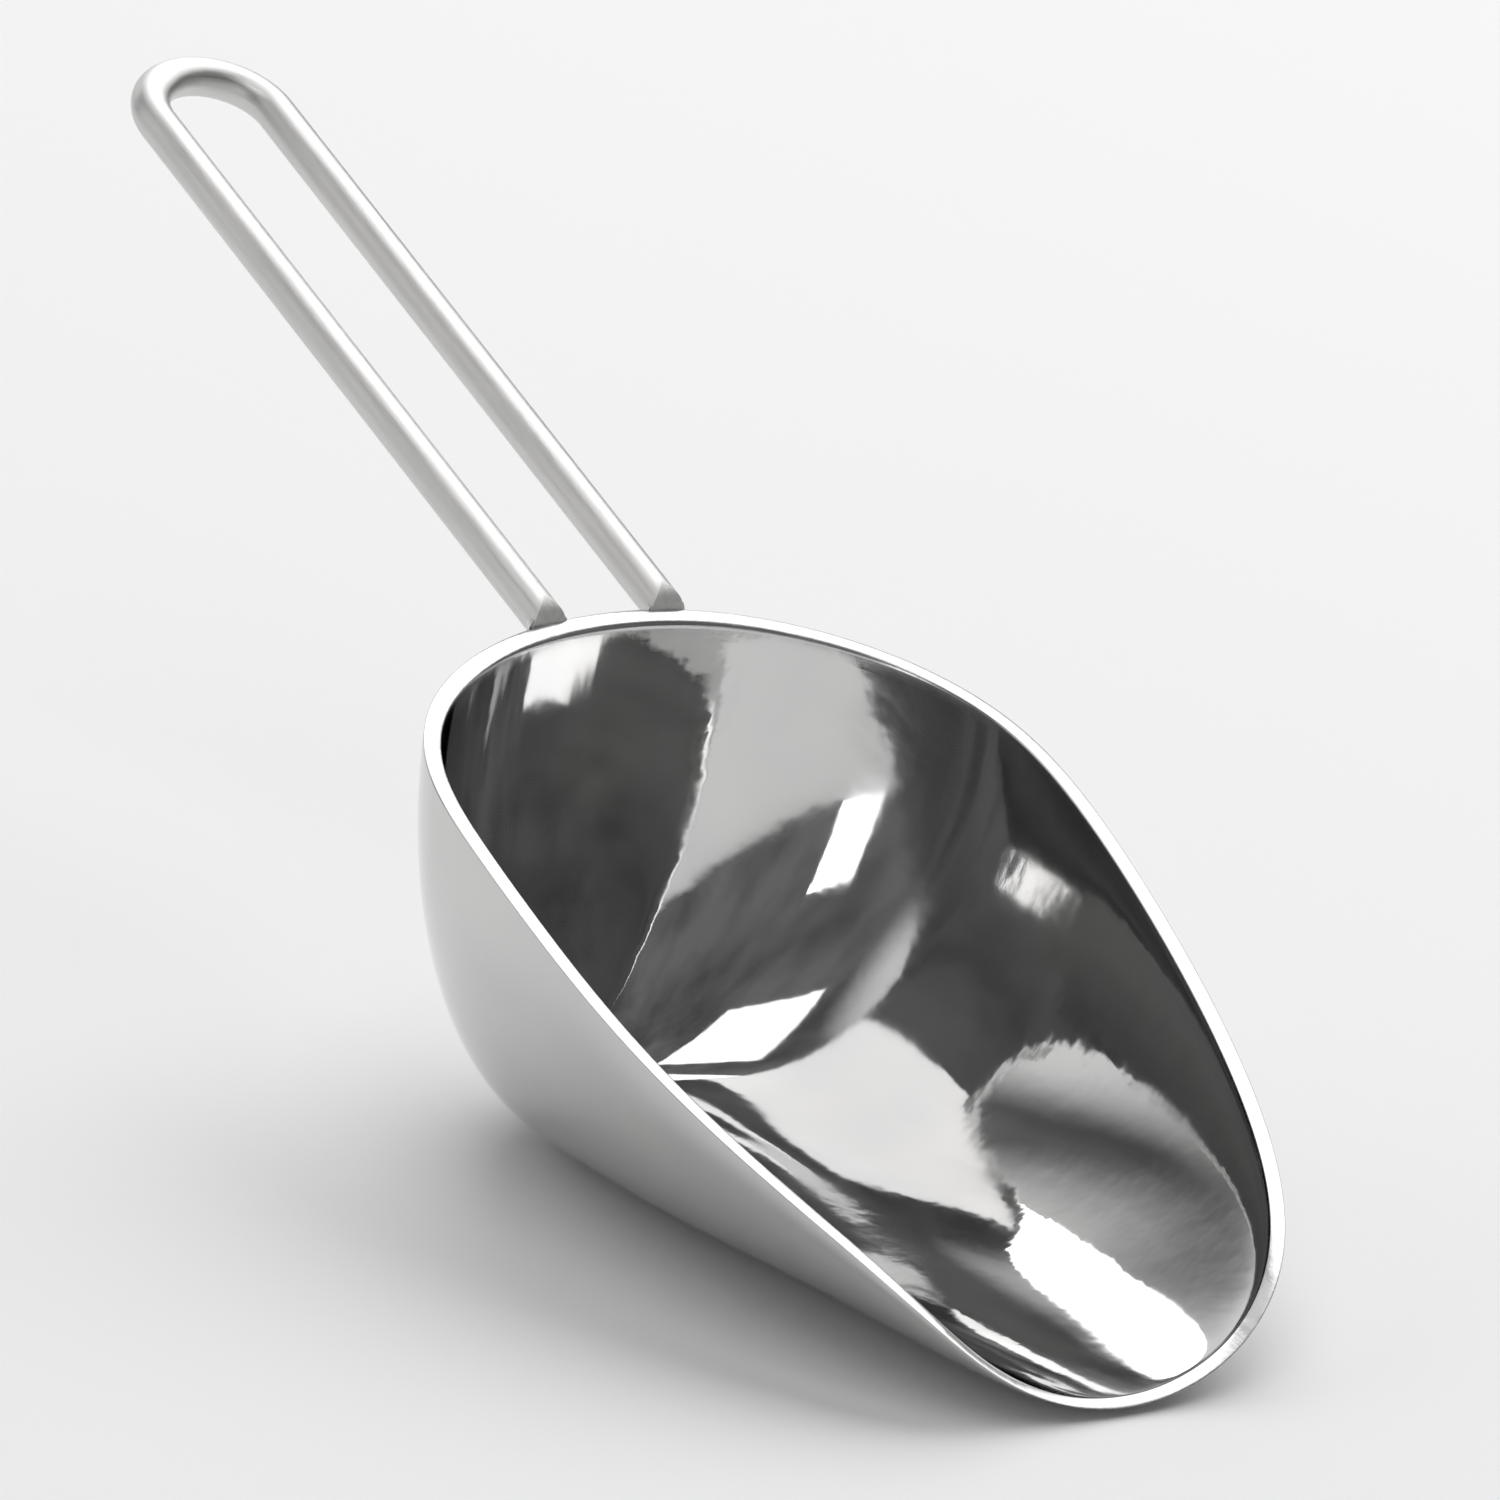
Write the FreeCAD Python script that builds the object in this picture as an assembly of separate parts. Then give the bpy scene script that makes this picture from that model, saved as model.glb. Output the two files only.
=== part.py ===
import FreeCAD, Part
import math
import os
from FreeCAD import Vector as V

os.makedirs("parts", exist_ok=True)

# ---------------------------------------------------------------------------
# Ice scoop: a pressed stainless bowl with a sloping mouth and one bent wire
# loop as its handle, welded to the back wall just under the lip.
#
# Millimetres. +X runs forward to the scoop's tip, +Y to its left, +Z up.
# The origin is on the floor under the middle of the overall length. The bowl
# stands on the small flat pad in its belly.
# ---------------------------------------------------------------------------

# bowl
SHEET = 1.3            # wall and floor thickness
PAD_X = 23.0           # centre of the flat resting pad
PAD_HALF_LENGTH = 19.0
PAD_HALF_WIDTH = 8.6
HEEL_1 = (0.462, 0.109)   # fullness of the wall under the rim: mean, back-to-tip swing
HEEL_2 = (0.470, 0.100)   # fullness of the turn into the floor: mean, back-to-tip swing
LEAN = (-0.062, 0.058)    # outward lean of the wall foot per mm of height: mean, swing
LAND_BACK, LAND_SIDE, LAND_TIP = 2.2, 2.0, 1.4   # width of the rim's top, seen from above
LIP_DROP = 1.2         # how far the inner edge of the lip lies under the outer edge at the back
TIP_RISE = 0.75        # how far the inner edge stands over the outer edge at the tip
CROWN_BACK, CROWN_SIDE = 0.45, 0.12   # how far the rim's top swells

# outer edge of the rim, from the middle of the back to the tip: x, half width, z
RIM = [
    (-8.71, 0.00, 55.56), (-8.54, 5.38, 55.45), (-7.93, 11.12, 55.10),
    (-6.56, 17.36, 54.47), (-4.14, 23.83, 53.53), (-0.55, 30.00, 52.31),
    (4.08, 35.24, 50.88), (9.39, 39.14, 49.30), (15.01, 41.62, 47.60),
    (20.75, 42.91, 45.70), (26.64, 43.41, 43.48), (32.95, 43.44, 40.82),
    (39.99, 43.10, 37.67), (47.89, 42.32, 34.11), (56.49, 40.95, 30.35),
    (65.33, 38.92, 26.61), (73.77, 36.32, 23.05), (81.23, 33.37, 19.70),
    (87.32, 30.23, 16.46), (91.96, 26.90, 13.19), (95.28, 23.16, 9.86),
    (97.52, 18.71, 6.63), (98.96, 13.28, 3.84), (99.75, 6.93, 1.92),
    (100.01, 0.00, 1.24),
]
RIM_MID_X = 44.26
RIM_HALF_LENGTH = 54.36
RIM_HALF_WIDTH = 43.47

# handle wire
WIRE_D = 4.64
LEG_Y = 8.61           # half the distance between the two legs' centre lines
SLOPE = 21.1           # degrees the legs rise going back
AXIS_X, AXIS_Z = -11.26, 56.25   # a point on the legs' centre line
LEG_LENGTH = 84.85      # from that point back to the start of the end bend
BEND_DEPTH = 7.66      # from there to the centre line's far end
END_X = -8.15          # where the wire stops against the wall
END_ROUND = 2.6        # radius of each end's dressed top

# welds
WELD_OUT = 0.55        # how far a bead stands out around its wire at the wall
WELD_RUN = 1.3         # how far it runs back along the wire
WELD_TOP = 55.9       # the bead stays under this height


def closed(points):
    """A smooth closed curve through the points."""
    c = Part.BSplineCurve()
    c.interpolate(Points=[V(*p) for p in points], PeriodicFlag=True)
    return Part.Wire([c.toShape()])


def swing(pair, tau):
    return pair[0] + pair[1] * math.cos(tau)


N = len(RIM) - 1
LOOP = [(RIM[i][0], RIM[i][1], RIM[i][2]) for i in range(N + 1)]
LOOP += [(RIM[i][0], -RIM[i][1], RIM[i][2]) for i in range(N - 1, 0, -1)]
M = len(LOOP)
TAU = [2 * math.pi * i / M for i in range(M)]


def inward(i):
    """Horizontal direction into the bowl, square to the rim."""
    a, b = LOOP[(i - 1) % M], LOOP[(i + 1) % M]
    dx, dy = b[0] - a[0], b[1] - a[1]
    n = math.hypot(dx, dy)
    return (dy / n, -dx / n)


def blend(tau, back, side, tip):
    """Back, side and tip values joined smoothly around the rim."""
    c = math.cos(tau)
    if c >= 0:
        w = c ** 3
        return side + (back - side) * w
    w = (-c) ** 3
    return side + (tip - side) * w


def bezier(p0, p1, p2, p3, t):
    a, b, c, d = (1 - t) ** 3, 3 * (1 - t) ** 2 * t, 3 * (1 - t) * t * t, t ** 3
    return tuple(a * p0[k] + b * p1[k] + c * p2[k] + d * p3[k] for k in range(3))


def mix(a, b, w):
    return tuple(a[k] + w * (b[k] - a[k]) for k in range(3))


def profile(i, inner):
    """The four control points of the wall's profile below rim point i."""
    x, y, z = LOOP[i]
    tau = TAU[i]
    ox, oy = x - RIM_MID_X, y
    n = math.hypot(ox, oy)
    ox, oy = ox / n, oy / n
    lean = swing(LEAN, tau) * z
    corner = (x + ox * lean, y + oy * lean, 0.0)
    ang = math.atan2(y / RIM_HALF_WIDTH, (x - RIM_MID_X) / RIM_HALF_LENGTH)
    pad = (PAD_X + PAD_HALF_LENGTH * math.cos(ang), PAD_HALF_WIDTH * math.sin(ang), 0.0)
    rim = (x, y, z)
    if inner:
        ix, iy = inward(i)
        land = blend(tau, LAND_BACK, LAND_SIDE, LAND_TIP)
        dz = blend(tau, -LIP_DROP, 0.0, TIP_RISE)
        rim = (x + ix * land, y + iy * land, z + dz)
        corner = (corner[0] + ix * SHEET, corner[1] + iy * SHEET, SHEET)
        pad = (pad[0], pad[1], SHEET)
    k1, k2 = swing(HEEL_1, tau), swing(HEEL_2, tau)
    return rim, mix(rim, corner, k1), mix(pad, corner, k2), pad


LEVELS = [0.0, 0.03, 0.08, 0.15, 0.23, 0.31, 0.39, 0.47, 0.55, 0.63, 0.71, 0.79, 0.87, 0.94, 1.0]


def side(inner):
    wires = []
    for t in LEVELS:
        pts = []
        for i in range(M):
            q = bezier(*profile(i, inner), t)
            if t == 1.0:
                q = (q[0], q[1], SHEET if inner else 0.0)
            pts.append(q)
        wires.append(closed(pts))
    return Part.makeLoft(wires, False, False, False), wires[0], wires[-1]


def make_bowl():
    outer, rim_out, pad_out = side(False)
    inner, rim_in, pad_in = side(True)
    crown = []
    for i in range(M):
        a, b = profile(i, False)[0], profile(i, True)[0]
        d = V(b[0] - a[0], b[1] - a[1], b[2] - a[2])
        ix, iy = inward(i)
        up = V(-ix * d.z, -iy * d.z, ix * d.x + iy * d.y)
        up.normalize()
        rise = blend(TAU[i], CROWN_BACK, CROWN_SIDE, CROWN_SIDE)
        mid = mix(a, b, 0.5)
        crown.append((mid[0] + up.x * rise, mid[1] + up.y * rise, mid[2] + up.z * rise))
    land = Part.makeLoft([rim_out, closed(crown), rim_in], False, False, False)
    faces = outer.Faces + inner.Faces + land.Faces
    faces += [Part.Face(pad_out), Part.Face(pad_in)]
    shell = Part.makeShell(faces)
    shell.sewShape()
    solid = Part.makeSolid(shell)
    if solid.Volume < 0:
        solid.reverse()
    return solid


A = math.radians(SLOPE)
BACK = V(-math.cos(A), 0, math.sin(A))        # along the legs, going back
BASE = V(AXIS_X, 0, AXIS_Z)


def end_waste():
    """What is dressed off each end: the corner outside an arc from the wire's top down to the rim."""
    up = V(math.sin(A), 0, math.cos(A))
    run = (END_X - AXIS_X - up.x * WIRE_D / 2) / BACK.x
    corner = BASE + BACK * run + up * (WIRE_D / 2)
    reach = END_ROUND * math.tan(math.acos(up.x) / 2)
    high, low = corner + BACK * reach, corner - V(0, 0, reach)
    centre = low - V(END_ROUND, 0, 0)
    half = V(up.x + 1, 0, up.z)
    half.normalize()
    pts = [low, V(END_X + 5, 0, low.z), V(END_X + 5, 0, 70), high + up * 8, high]
    edges = [Part.Arc(high, centre + half * END_ROUND, low).toShape()]
    edges += [Part.makeLine(pts[i], pts[i + 1]) for i in range(4)]
    face = Part.Face(Part.Wire(edges))
    face.translate(V(0, -30, 0))
    return face.extrude(V(0, 60, 0))


def make_handle(bowl):
    start = -9.0
    left = [BASE + BACK * start + V(0, LEG_Y, 0), BASE + BACK * LEG_LENGTH + V(0, LEG_Y, 0)]
    right = [p - V(0, 2 * LEG_Y, 0) for p in left]
    # the end bend is half an ellipse, drawn in the plane of the two legs
    oval = Part.Ellipse(V(0, 0, 0), LEG_Y, BEND_DEPTH)
    bend = Part.ArcOfEllipse(oval, 0, math.pi).toShape()
    bend.Placement = FreeCAD.Placement(
        BASE + BACK * LEG_LENGTH, FreeCAD.Rotation(V(0, 1, 0), BACK, V(0, 0, 1), "XYZ"))
    path = Part.Wire([Part.makeLine(left[0], left[1]), bend, Part.makeLine(right[1], right[0])])
    ring = Part.Wire([Part.makeCircle(WIRE_D / 2, left[0], BACK)])
    wire = path.makePipeShell([ring], True, False, 2)
    cut = Part.makeBox(60, 60, 60, V(END_X, -30, 20))
    return wire.cut(cut).cut(end_waste()).cut(bowl)


def make_weld(y, bowl, handle):
    r = WIRE_D / 2
    outline = []
    for k in range(9):
        f = k / 8.0
        outline.append((WELD_RUN * f, r + WELD_OUT * (1 - f) ** 2.2 + 0.02))
    # revolve about the local X axis, then turn and move onto the leg
    start = -4.0
    prof = [V(start, 0, 0), V(start, outline[0][1], 0)]
    prof += [V(u, rad, 0) for u, rad in outline]
    prof += [V(WELD_RUN, 0, 0)]
    head = [Part.makeLine(prof[0], prof[1]), Part.makeLine(prof[1], prof[2])]
    flank = Part.BSplineCurve()
    flank.interpolate(Points=prof[2:-1])
    edges = head + [flank.toShape(), Part.makeLine(prof[-2], prof[-1]), Part.makeLine(prof[-1], prof[0])]
    bead = Part.Face(Part.Wire(edges)).revolve(V(0, 0, 0), V(1, 0, 0), 360)
    # local X must point back along the leg
    rot = FreeCAD.Rotation(V(1, 0, 0), BACK)
    hit = (END_X - AXIS_X) / BACK.x
    foot = BASE + BACK * hit + V(0, y, 0)
    bead.Placement = FreeCAD.Placement(foot, rot)
    keep = Part.makeBox(30, 30, 30, V(END_X - 0.15 - 30, y - 15, WELD_TOP - 30))
    bead = bead.common(keep).cut(handle).cut(bowl)
    solids = sorted(bead.Solids, key=lambda s: s.Volume)
    return solids[-1]


bowl = make_bowl()
handle = make_handle(bowl)
handle = sorted(handle.Solids, key=lambda s: s.Volume)[-1]
NODES = {
    "bowl": bowl,
    "handle_loop": handle,
    "weld_left": make_weld(LEG_Y, bowl, handle),
    "weld_right": make_weld(-LEG_Y, bowl, handle),
}

for name, shape in NODES.items():
    shape.exportStep("parts/%s.step" % name)
    b = shape.optimalBoundingBox(True, False)
    c = shape.CenterOfMass if hasattr(shape, "CenterOfMass") else shape.Solids[0].CenterOfMass
    print(name, shape.ShapeType, shape.isValid(), "vol %.1f" % shape.Volume, "solids", len(shape.Solids),
          "x %.2f..%.2f y %.2f..%.2f z %.2f..%.2f" % (b.XMin, b.XMax, b.YMin, b.YMax, b.ZMin, b.ZMax),
          "com %.2f %.2f %.2f" % (c.x, c.y, c.z))
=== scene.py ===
import bpy, math
import numpy as np
from mathutils import Vector, Matrix


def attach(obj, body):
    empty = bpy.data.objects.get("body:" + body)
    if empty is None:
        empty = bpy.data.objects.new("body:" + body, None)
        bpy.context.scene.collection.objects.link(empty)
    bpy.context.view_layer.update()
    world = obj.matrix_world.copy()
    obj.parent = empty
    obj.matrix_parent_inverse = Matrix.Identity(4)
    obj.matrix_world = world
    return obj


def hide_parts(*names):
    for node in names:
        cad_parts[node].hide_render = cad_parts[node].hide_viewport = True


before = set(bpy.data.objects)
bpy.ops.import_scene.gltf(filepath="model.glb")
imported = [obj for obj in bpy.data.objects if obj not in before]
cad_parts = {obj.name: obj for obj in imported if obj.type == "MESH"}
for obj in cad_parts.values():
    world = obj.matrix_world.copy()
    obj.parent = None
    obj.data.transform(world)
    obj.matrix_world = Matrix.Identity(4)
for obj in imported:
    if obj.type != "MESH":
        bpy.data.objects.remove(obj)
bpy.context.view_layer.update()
MM = 0.001

# ---------------------------------------------------------------------------
# the bowl's form, in millimetres, the same numbers as the CAD part
# ---------------------------------------------------------------------------
SHEET = 1.3
PAD_X, PAD_HALF_LENGTH, PAD_HALF_WIDTH = 23.0, 19.0, 8.6
HEEL_1, HEEL_2, LEAN = (0.462, 0.109), (0.470, 0.100), (-0.062, 0.058)
LAND_BACK, LAND_SIDE, LAND_TIP = 2.2, 2.0, 1.4
LIP_DROP, TIP_RISE = 1.2, 0.75
CROWN_BACK, CROWN_SIDE = 0.45, 0.12
RIM = [
    (-8.71, 0.00, 55.56), (-8.54, 5.38, 55.45), (-7.93, 11.12, 55.10),
    (-6.56, 17.36, 54.47), (-4.14, 23.83, 53.53), (-0.55, 30.00, 52.31),
    (4.08, 35.24, 50.88), (9.39, 39.14, 49.30), (15.01, 41.62, 47.60),
    (20.75, 42.91, 45.70), (26.64, 43.41, 43.48), (32.95, 43.44, 40.82),
    (39.99, 43.10, 37.67), (47.89, 42.32, 34.11), (56.49, 40.95, 30.35),
    (65.33, 38.92, 26.61), (73.77, 36.32, 23.05), (81.23, 33.37, 19.70),
    (87.32, 30.23, 16.46), (91.96, 26.90, 13.19), (95.28, 23.16, 9.86),
    (97.52, 18.71, 6.63), (98.96, 13.28, 3.84), (99.75, 6.93, 1.92),
    (100.01, 0.00, 1.24),
]
RIM_MID_X, RIM_HALF_LENGTH, RIM_HALF_WIDTH = 44.26, 54.36, 43.47


def rim_curve(tau):
    """The rim's outer edge at each angle: smooth through the stations, and even about the centre plane."""
    n = len(RIM) - 1
    loop = np.array(RIM + [(p[0], -p[1], p[2]) for p in RIM[-2:0:-1]])
    f = np.fft.rfft(loop, axis=0) / len(loop)
    k = np.arange(f.shape[0])
    w = np.where((k == 0) | (k == n), 1.0, 2.0)
    e = np.exp(1j * np.outer(tau, k)) * w
    return np.real(e @ f)


def swing(pair, tau):
    return pair[0] + pair[1] * np.cos(tau)


def blend(tau, back, side, tip):
    c = np.cos(tau)
    return np.where(c >= 0, side + (back - side) * np.abs(c) ** 3, side + (tip - side) * np.abs(c) ** 3)


def profiles(tau, inner):
    rim = rim_curve(tau)
    x, y, z = rim.T
    out = np.stack([x - RIM_MID_X, y], 1)
    out /= np.linalg.norm(out, axis=1)[:, None]
    lean = swing(LEAN, tau) * z
    zero = np.zeros_like(z)
    corner = np.stack([x + out[:, 0] * lean, y + out[:, 1] * lean, zero], 1)
    ang = np.arctan2(y / RIM_HALF_WIDTH, (x - RIM_MID_X) / RIM_HALF_LENGTH)
    pad = np.stack([PAD_X + PAD_HALF_LENGTH * np.cos(ang), PAD_HALF_WIDTH * np.sin(ang), zero], 1)
    h = 1e-3
    d = rim_curve(tau + h) - rim_curve(tau - h)
    n = np.hypot(d[:, 0], d[:, 1])
    inw = np.stack([d[:, 1] / n, -d[:, 0] / n], 1)
    inw = -inw if (inw[0, 0] < 0) else inw
    if inner:
        land = blend(tau, LAND_BACK, LAND_SIDE, LAND_TIP)[:, None]
        dz = blend(tau, -LIP_DROP, 0.0, TIP_RISE)
        rim = np.concatenate([rim[:, :2] + inw * land, (z + dz)[:, None]], 1)
        corner = np.concatenate([corner[:, :2] + inw * SHEET, zero[:, None] + SHEET], 1)
        pad = np.concatenate([pad[:, :2], zero[:, None] + SHEET], 1)
    k1, k2 = swing(HEEL_1, tau)[:, None], swing(HEEL_2, tau)[:, None]
    return rim, rim + k1 * (corner - rim), pad + k2 * (corner - pad), pad, inw


def bez(P, t):
    return (1 - t) ** 3 * P[0] + 3 * (1 - t) ** 2 * t * P[1] + 3 * (1 - t) * t * t * P[2] + t ** 3 * P[3]


def ring_mesh(name, rings, caps):
    """A closed quad mesh through a list of rings; caps are its first and last centre points."""
    m = len(rings[0])
    verts = [tuple(v) for r in rings for v in r]
    faces = []
    for a in range(len(rings) - 1):
        for i in range(m):
            j = (i + 1) % m
            faces.append((a * m + i, a * m + j, (a + 1) * m + j, (a + 1) * m + i))
    for at, centre in ((0, caps[0]), (len(rings) - 1, caps[1])):
        c = len(verts)
        verts.append(tuple(centre))
        for i in range(m):
            j = (i + 1) % m
            f = (at * m + i, at * m + j, c)
            faces.append(f if at else f[::-1])
    # every face looks outward: the enclosed volume, summed from the faces, is positive
    at = np.array(verts)
    enclosed = 0.0
    for size in (3, 4):
        f = np.array([q for q in faces if len(q) == size])
        for k in range(1, size - 1):
            enclosed += float(np.einsum("ij,ij->", at[f[:, 0]], np.cross(at[f[:, k]], at[f[:, k + 1]])))
    if enclosed < 0:
        faces = [q[::-1] for q in faces]
    mesh = bpy.data.meshes.new(name)
    mesh.from_pydata([(v[0] * MM, v[1] * MM, v[2] * MM) for v in verts], [], faces)
    mesh.validate()
    mesh.polygons.foreach_set("use_smooth", [True] * len(mesh.polygons))
    obj = bpy.data.objects.new(name, mesh)
    bpy.context.collection.objects.link(obj)
    return obj


def make_bowl():
    m = 360
    tau = np.arange(m) * 2 * math.pi / m
    Po, Pi = profiles(tau, False), profiles(tau, True)
    levels = np.concatenate([[0.0, 0.005, 0.012, 0.021], np.linspace(0.032, 1.0, 66)])
    rings, depth, edge = [], [], []

    def add(ring, run, at_edge):
        rings.append(ring)
        depth.append(run)
        edge.append(np.full(m, at_edge))

    # outside, from the middle of the pad up to the rim
    centre = np.array([PAD_X, 0.0, 0.0])
    for f in np.linspace(0.12, 0.92, 10):
        add(centre + (Po[3] - centre) * f, 1.2, 0.0)
    for t in levels[::-1]:
        add(bez(Po, t), t, max(0.0, 1 - t / 0.018))
    # the rim's swollen top
    a, b, inw = Po[0], Pi[0], Po[4]
    d = b - a
    up = np.stack([-inw[:, 0] * d[:, 2], -inw[:, 1] * d[:, 2], inw[:, 0] * d[:, 0] + inw[:, 1] * d[:, 1]], 1)
    up /= np.linalg.norm(up, axis=1)[:, None]
    rise = blend(tau, CROWN_BACK, CROWN_SIDE, CROWN_SIDE)[:, None]
    for s in (0.04, 0.09, 0.16, 0.25, 0.36, 0.48, 0.60, 0.72, 0.82, 0.90, 0.96):
        add(a + d * s + up * rise * 0.9 * (1 - abs(2 * s - 1) ** 3), 0.0, 1.0)
    for t in levels:
        add(bez(Pi, t), t, max(0.0, 1 - t / 0.018))
    top = np.array([PAD_X, 0.0, SHEET])
    for f in np.linspace(0.92, 0.12, 10):
        add(top + (Pi[3] - top) * f, 1.2, 0.0)
    obj = ring_mesh("bowl_skin", rings, (centre, top))
    me = obj.data
    n = len(me.vertices)
    sheet = np.zeros((n, 3), dtype=np.float32)
    sheet[:, 2] = 1.3
    k = len(rings) * m
    sheet[:k, 0] = np.tile(np.cos(tau), len(rings))
    sheet[:k, 1] = np.tile(np.sin(tau), len(rings))
    sheet[:k, 2] = np.repeat(depth, m)
    me.attributes.new("sheet_coords", "FLOAT_VECTOR", "POINT").data.foreach_set("vector", sheet.ravel())
    mask = np.zeros(n, dtype=np.float32)
    mask[:k] = np.concatenate(edge)
    me.attributes.new("edge", "FLOAT", "POINT").data.foreach_set("value", mask)
    return obj


bowl = make_bowl()
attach(bowl, "root")
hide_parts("bowl")


# ---------------------------------------------------------------------------
# the handle: one round wire, the same line as the CAD part
# ---------------------------------------------------------------------------
WIRE_R, LEG_Y, SLOPE = 2.32, 8.61, math.radians(21.1)
AXIS = np.array([-11.26, 0.0, 56.25])
LEG_LENGTH, BEND_DEPTH, END_X = 84.85, 7.66, -8.15
BACKWARD = np.array([-math.cos(SLOPE), 0.0, math.sin(SLOPE)])
SIDE = np.array([0.0, 1.0, 0.0])


END_ROUND = 2.6
UPWARD = np.array([math.sin(SLOPE), 0.0, math.cos(SLOPE)])
REACH = END_ROUND * math.tan(math.acos(UPWARD[0]) / 2)
LOW_Z = (AXIS + BACKWARD * ((END_X - AXIS[0] - UPWARD[0] * WIRE_R) / BACKWARD[0]) + UPWARD * WIRE_R)[2] - REACH


def end_at(h):
    """Where the leg's line at height h over its axis meets the end: upright, with a round top."""
    s = (END_X - AXIS[0] - UPWARD[0] * h) / BACKWARD[0]
    p = AXIS + BACKWARD * s + UPWARD * h
    if p[2] > LOW_Z:
        centre = np.array([END_X - END_ROUND, 0.0, LOW_Z])
        q = AXIS + UPWARD * h - centre
        k = float(q @ BACKWARD)
        s = -k - math.sqrt(max(0.0, k * k - float(q @ q) + END_ROUND ** 2))
    return s


def make_handle():
    m = 56
    turn = np.arange(m) * 2 * math.pi / m
    body = (END_X - AXIS[0]) / BACKWARD[0] + 9.0      # from here back, each ring is square to the wire
    line = []
    for f in np.linspace(body, LEG_LENGTH, 56)[:-1]:
        line.append((AXIS + BACKWARD * f + SIDE * LEG_Y, BACKWARD))
    for f in np.linspace(0, math.pi, 72):
        p = AXIS + BACKWARD * (LEG_LENGTH + BEND_DEPTH * math.sin(f)) + SIDE * LEG_Y * math.cos(f)
        d = BACKWARD * BEND_DEPTH * math.cos(f) - SIDE * LEG_Y * math.sin(f)
        line.append((p, d / np.linalg.norm(d)))
    for f in np.linspace(LEG_LENGTH, body, 56)[1:]:
        line.append((AXIS + BACKWARD * f - SIDE * LEG_Y, -BACKWARD))

    def end_rings(side, out):
        """Rings from the middle of an end's face out to its edge, then back along the leg."""
        rings = []
        for f in (0.15, 0.35, 0.55, 0.72, 0.85, 0.93, 0.975, 1.0):
            rings.append([AXIS + SIDE * LEG_Y * side + (SIDE * out * math.cos(w) - UPWARD * math.sin(w)) * WIRE_R * f
                          + BACKWARD * end_at(-WIRE_R * f * math.sin(w)) for w in turn])
        for g in (0.008, 0.03, 0.07, 0.13, 0.2, 0.3, 0.42, 0.56, 0.7, 0.85):
            ring = []
            for w in turn:
                e = end_at(-WIRE_R * math.sin(w))
                ring.append(AXIS + SIDE * LEG_Y * side + (SIDE * out * math.cos(w) - UPWARD * math.sin(w)) * WIRE_R
                            + BACKWARD * (e + (body - e) * g))
            rings.append(ring)
        return rings

    normal = np.cross(BACKWARD, SIDE)
    middle, run, along = [], 0.0, []
    for i, (p, d) in enumerate(line):
        if i:
            run += np.linalg.norm(p - line[i - 1][0])
        across = np.cross(d, normal)
        middle.append([p + (across * math.cos(w) + normal * math.sin(w)) * WIRE_R for w in turn])
        along.append(run)
    first = float(np.sign(np.cross(BACKWARD, normal) @ SIDE))
    head, tail = end_rings(1, first), end_rings(-1, -first)[::-1]
    rings = head + middle + tail
    lengths = [-9.0 + 0.5 * k for k in range(len(head))] + along + [run + 0.5 * k for k in range(len(tail))]
    tip = [AXIS + SIDE * LEG_Y * k + BACKWARD * end_at(0.0) for k in (1, -1)]
    obj = ring_mesh("handle_wire", rings, tip)
    me = obj.data
    co = me.attributes.new("wire_coords", "FLOAT_VECTOR", "POINT")
    data = np.zeros((len(me.vertices), 3), dtype=np.float32)
    data[:, 0] = np.append(np.repeat(lengths, m), [-9.0, run]) * 0.012
    data[:, 1] = np.append(np.tile(np.cos(turn), len(rings)), [1.0, 1.0])
    data[:, 2] = np.append(np.tile(np.sin(turn), len(rings)), [0.0, 0.0])
    co.data.foreach_set("vector", data.ravel())
    mask = np.zeros((len(rings), m), dtype=np.float32)
    for k, v in enumerate((1, 1, 1, 1, 1, 1, 1, 0.9, 0.7, 0.45, 0.2)):
        mask[k] = mask[-1 - k] = v
    me.attributes.new("dressed", "FLOAT", "POINT").data.foreach_set("value", np.append(mask.ravel(), [1.0, 1.0]).astype(np.float32))
    return obj


handle = make_handle()
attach(handle, "root")
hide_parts("handle_loop")


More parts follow.
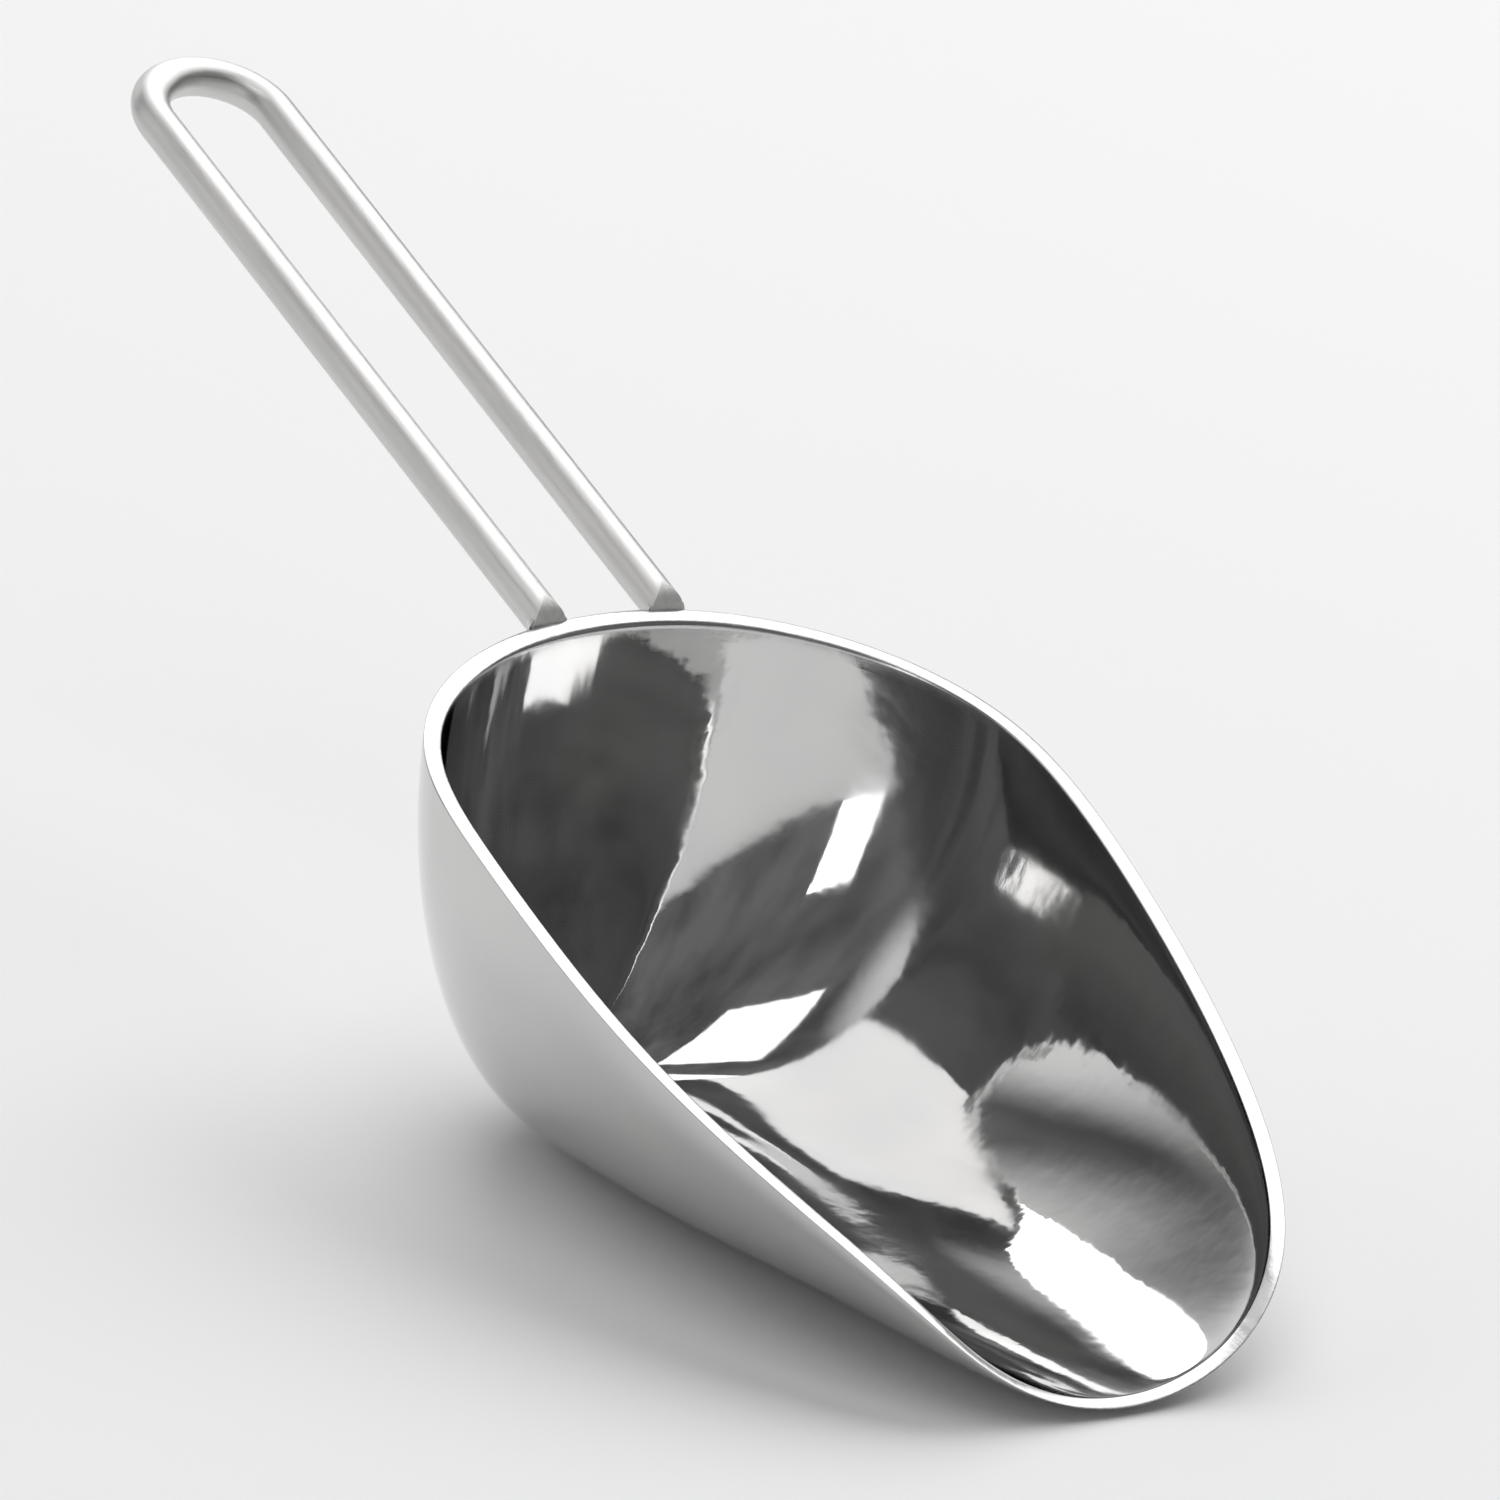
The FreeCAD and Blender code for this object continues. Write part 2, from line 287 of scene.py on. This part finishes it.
# ---------------------------------------------------------------------------
# materials
# ---------------------------------------------------------------------------
class Tree:
    def __init__(self, name):
        self.mat = bpy.data.materials.new(name)
        self.mat.use_nodes = True
        self.nt = self.mat.node_tree
        self.bsdf = self.nt.nodes["Principled BSDF"]

    def node(self, kind, **props):
        n = self.nt.nodes.new(kind)
        for k, v in props.items():
            setattr(n, k, v)
        return n

    def link(self, a, b):
        self.nt.links.new(a, b)

    def coords(self, attribute=None):
        if attribute:
            n = self.node("ShaderNodeAttribute", attribute_name=attribute)
            return n.outputs["Vector"]
        return self.node("ShaderNodeTexCoord").outputs["Object"]

    def scaled(self, src, scale, rotate=(0, 0, 0)):
        n = self.node("ShaderNodeMapping")
        n.inputs["Scale"].default_value = scale
        n.inputs["Rotation"].default_value = rotate
        self.link(src, n.inputs["Vector"])
        return n.outputs["Vector"]

    def noise(self, src, scale, detail=2.0, rough=0.5, distortion=0.0):
        n = self.node("ShaderNodeTexNoise")
        n.inputs["Scale"].default_value = scale
        n.inputs["Detail"].default_value = detail
        n.inputs["Roughness"].default_value = rough
        n.inputs["Distortion"].default_value = distortion
        self.link(src, n.inputs["Vector"])
        return n.outputs["Fac"]

    def span(self, src, a, b, lo, hi):
        n = self.node("ShaderNodeMapRange")
        n.inputs["From Min"].default_value = a
        n.inputs["From Max"].default_value = b
        n.inputs["To Min"].default_value = lo
        n.inputs["To Max"].default_value = hi
        self.link(src, n.inputs["Value"])
        return n.outputs["Result"]

    def math(self, op, a, b):
        n = self.node("ShaderNodeMath", operation=op)
        for i, v in enumerate((a, b)):
            if isinstance(v, (int, float)):
                n.inputs[i].default_value = v
            else:
                self.link(v, n.inputs[i])
        return n.outputs[0]

    def bump(self, height, distance, strength=1.0, normal=None):
        n = self.node("ShaderNodeBump")
        n.inputs["Strength"].default_value = strength
        n.inputs["Distance"].default_value = distance
        self.link(height, n.inputs["Height"])
        if normal is not None:
            self.link(normal, n.inputs["Normal"])
        return n.outputs["Normal"]

    def tint(self, fac, a, b):
        n = self.node("ShaderNodeMix", data_type="RGBA")
        n.inputs["A"].default_value = (*a, 1)
        n.inputs["B"].default_value = (*b, 1)
        self.link(fac, n.inputs["Factor"])
        return n.outputs["Result"]


def bowl_material():
    t = Tree("polished_bowl_steel")
    t.bsdf.inputs["Metallic"].default_value = 1.0
    xyz = t.coords()
    sheet = t.coords("sheet_coords")
    edge = t.node("ShaderNodeAttribute", attribute_name="edge").outputs["Fac"]
    depth = t.node("ShaderNodeSeparateXYZ")
    t.link(sheet, depth.inputs[0])
    near_rim = t.span(depth.outputs["Z"], 0.0, 0.30, 1.0, 0.0)
    # colour: a very slight warm and cool drift over the sheet
    drift = t.noise(xyz, 38.0, 3.0)
    t.link(t.tint(t.span(drift, 0.35, 0.65, 0, 1), (0.645, 0.641, 0.634), (0.605, 0.605, 0.609)), t.bsdf.inputs["Base Color"])
    # roughness: mirror polish with cloudy buffing haze, and a coarser cut edge
    cloud = t.noise(t.scaled(xyz, (1.0, 1.8, 0.9), (0.3, 0.5, 0.8)), 32.0, 5.0, 0.6, 0.8)
    haze = t.span(cloud, 0.40, 0.70, 0.022, 0.130)
    t.link(t.math("ADD", haze, t.math("MULTIPLY", edge, 0.18)), t.bsdf.inputs["Roughness"])
    # form: long waves of the pressed sheet, pulled streaks under the rim, buffing ripples, hair scratches, filed edge
    wave = t.noise(xyz, 30.0, 1.0, 0.4)
    n1 = t.bump(wave, 0.00024)
    pull = t.noise(t.scaled(sheet, (1.0, 1.0, 0.16)), 6.0, 2.0, 0.45, 0.4)
    n2 = t.bump(t.math("MULTIPLY", pull, near_rim), 0.00014, 1.0, n1)
    ripple = t.noise(t.scaled(xyz, (1.0, 1.0, 1.6), (0.2, 0.0, 0.4)), 105.0, 2.0, 0.5)
    n3 = t.bump(ripple, 0.000022, 1.0, n2)
    dimple = t.noise(t.scaled(xyz, (1.0, 1.0, 0.7)), 270.0, 2.0, 0.5)
    n3 = t.bump(dimple, 0.000017, 1.0, n3)
    hair = t.noise(t.scaled(xyz, (1.0, 0.05, 0.35), (0.1, 0.25, 0.7)), 5200.0, 1.0, 0.5)
    n4 = t.bump(hair, 0.0000006, 1.0, n3)
    filed = t.noise(xyz, 900.0, 3.0, 0.6)
    n5 = t.bump(t.math("MULTIPLY", filed, edge), 0.000025, 1.0, n4)
    t.link(n5, t.bsdf.inputs["Normal"])
    return t.mat


def wire_material():
    t = Tree("polished_wire_steel")
    t.bsdf.inputs["Metallic"].default_value = 1.0
    w = t.coords("wire_coords")
    drift = t.noise(t.scaled(w, (2.0, 1.0, 1.0)), 2.0, 3.0)
    t.link(t.tint(t.span(drift, 0.35, 0.65, 0, 1), (0.66, 0.655, 0.645), (0.60, 0.598, 0.594)), t.bsdf.inputs["Base Color"])
    streak = t.noise(t.scaled(w, (0.8, 9.0, 9.0)), 3.0, 3.0, 0.6)
    # the ends are ground by hand, so they are coarser than the drawn wire
    dressed = t.node("ShaderNodeAttribute", attribute_name="dressed").outputs["Fac"]
    t.link(t.math("ADD", t.span(streak, 0.3, 0.7, 0.27, 0.37), t.math("MULTIPLY", dressed, 0.30)), t.bsdf.inputs["Roughness"])
    # die lines run along the wire
    lines = t.noise(t.scaled(w, (1.2, 26.0, 26.0)), 3.0, 3.0, 0.6)
    n1 = t.bump(lines, 0.00002)
    pits = t.noise(t.scaled(w, (60.0, 14.0, 14.0)), 3.0, 2.0, 0.5)
    n2 = t.bump(pits, 0.000006, 1.0, n1)
    grind = t.noise(t.scaled(t.coords(), (1.0, 3.0, 1.0)), 1400.0, 2.0, 0.6)
    n3 = t.bump(t.math("MULTIPLY", grind, dressed), 0.00008, 1.0, n2)
    t.link(n3, t.bsdf.inputs["Normal"])
    return t.mat


def weld_material():
    t = Tree("polished_weld_steel")
    t.bsdf.inputs["Metallic"].default_value = 1.0
    xyz = t.coords()
    spot = t.noise(xyz, 900.0, 3.0, 0.6)
    t.link(t.tint(t.span(spot, 0.35, 0.65, 0, 1), (0.68, 0.675, 0.665), (0.60, 0.595, 0.585)), t.bsdf.inputs["Base Color"])
    t.link(t.span(spot, 0.3, 0.7, 0.30, 0.44), t.bsdf.inputs["Roughness"])
    lump = t.noise(xyz, 620.0, 2.0, 0.5)
    t.link(t.bump(lump, 0.00012), t.bsdf.inputs["Normal"])
    return t.mat


bowl.data.materials.append(bowl_material())
handle.data.materials.append(wire_material())
weld_mat = weld_material()
for n in ("weld_left", "weld_right"):
    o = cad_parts[n]
    o.data.materials.clear()
    o.data.materials.append(weld_mat)

# ---------------------------------------------------------------------------
# stage: a plain pale floor, a large softbox behind, a small one in front, a low fill, and a dim room
# ---------------------------------------------------------------------------
def plain(name, colour):
    m = bpy.data.materials.new(name)
    m.use_nodes = True
    b = m.node_tree.nodes["Principled BSDF"]
    b.inputs["Base Color"].default_value = (*colour, 1)
    b.inputs["Roughness"].default_value = 0.9
    b.inputs["Specular IOR Level"].default_value = 0.0
    return m


def flat(name, points, z, material):
    me = bpy.data.meshes.new(name)
    me.from_pydata([(x * MM, y * MM, z * MM) for x, y in points], [], [tuple(range(len(points)))])
    o = bpy.data.objects.new(name, me)
    bpy.context.collection.objects.link(o)
    me.materials.append(material)
    return o


floor = flat("floor", [(-9000, -9000), (9000, -9000), (9000, 9000), (-9000, 9000)], 0.0, plain("floor_paper", (0.88, 0.88, 0.88)))


world = bpy.data.worlds.new("studio")
bpy.context.scene.world = world
world.use_nodes = True
nt = world.node_tree
bg = nt.nodes["Background"]
sky = nt.nodes.new("ShaderNodeTexCoord").outputs["Generated"]


def panel(az, el, inner, outer, strength):
    """A soft white panel of the studio, in that direction, with that half angle in degrees."""
    a, e = math.radians(az), math.radians(el)
    d = nt.nodes.new("ShaderNodeVectorMath")
    d.operation = "DOT_PRODUCT"
    d.inputs[1].default_value = (math.cos(a) * math.cos(e), math.sin(a) * math.cos(e), math.sin(e))
    nt.links.new(sky, d.inputs[0])
    r = nt.nodes.new("ShaderNodeMapRange")
    r.interpolation_type = "SMOOTHSTEP"
    r.inputs["From Min"].default_value = math.cos(math.radians(outer))
    r.inputs["From Max"].default_value = math.cos(math.radians(inner))
    r.inputs["To Min"].default_value = 0.0
    r.inputs["To Max"].default_value = strength
    nt.links.new(d.outputs["Value"], r.inputs["Value"])
    return r.outputs["Result"]


def add(a, b):
    n = nt.nodes.new("ShaderNodeMath")
    n.operation = "ADD"
    nt.links.new(a, n.inputs[0])
    nt.links.new(b, n.inputs[1])
    return n.outputs[0]


room = nt.nodes.new("ShaderNodeTexNoise")
room.inputs["Scale"].default_value = 3.2
room.inputs["Detail"].default_value = 3.0
nt.links.new(sky, room.inputs["Vector"])
dim = nt.nodes.new("ShaderNodeMapRange")
for k, v in (("From Min", 0.35), ("From Max", 0.65), ("To Min", 0.09), ("To Max", 0.19)):
    dim.inputs[k].default_value = v
nt.links.new(room.outputs["Fac"], dim.inputs["Value"])
light = dim.outputs["Result"]
for args in ((-122, 22, 16, 34, 0.7), (165, 12, 22, 40, 0.8)):
    light = add(light, panel(*args))
nt.links.new(light, bg.inputs["Strength"])
bg.inputs["Color"].default_value = (1, 1, 1, 1)


def softbox(name, pos, aim, size, watts):
    d = bpy.data.lights.new(name, "AREA")
    d.shape = "RECTANGLE"
    d.size, d.size_y = size
    d.energy = watts
    o = bpy.data.objects.new(name, d)
    bpy.context.collection.objects.link(o)
    o.location = pos
    o.rotation_euler = (Vector(aim) - Vector(pos)).to_track_quat("-Z", "Y").to_euler()
    return o


def bearing(az, el, far):
    a, e = math.radians(az), math.radians(el)
    return (far * math.cos(a) * math.cos(e), far * math.sin(a) * math.cos(e), far * math.sin(e))


softbox("key", bearing(117, 56, 1.8), (0, 0, 0.02), (2.6, 2.2), 33.0)
softbox("fill", bearing(-58, 62, 1.9), (0, 0, 0.02), (1.2, 1.2), 8.0)
softbox("strip", bearing(-48, 8, 1.3), (0, 0, 0.04), (0.36, 0.34), 0.9)

RIGHT = Vector((0.61456224, 0.77448474, 0.14995546))
UP = Vector((-0.35199912, 0.0991059, 0.93073876))
BACK = Vector((0.7059815, -0.62478109, 0.33352469))
cam_data = bpy.data.cameras.new("camera")
cam = bpy.data.objects.new("camera", cam_data)
bpy.context.collection.objects.link(cam)
cam_data.sensor_width = 36.0
cam_data.lens = 491.1
cam_data.clip_start, cam_data.clip_end = 0.05, 60.0
pos = Vector((-10.671, 0.0, 54.12)) + RIGHT * 17.89 - UP * 15.01 + BACK * 2338.5
rot = Matrix((RIGHT, UP, BACK)).transposed()
cam.matrix_world = Matrix.Translation(pos * MM) @ rot.to_4x4()
bpy.context.scene.camera = cam
bpy.context.scene.view_settings.view_transform = "Standard"
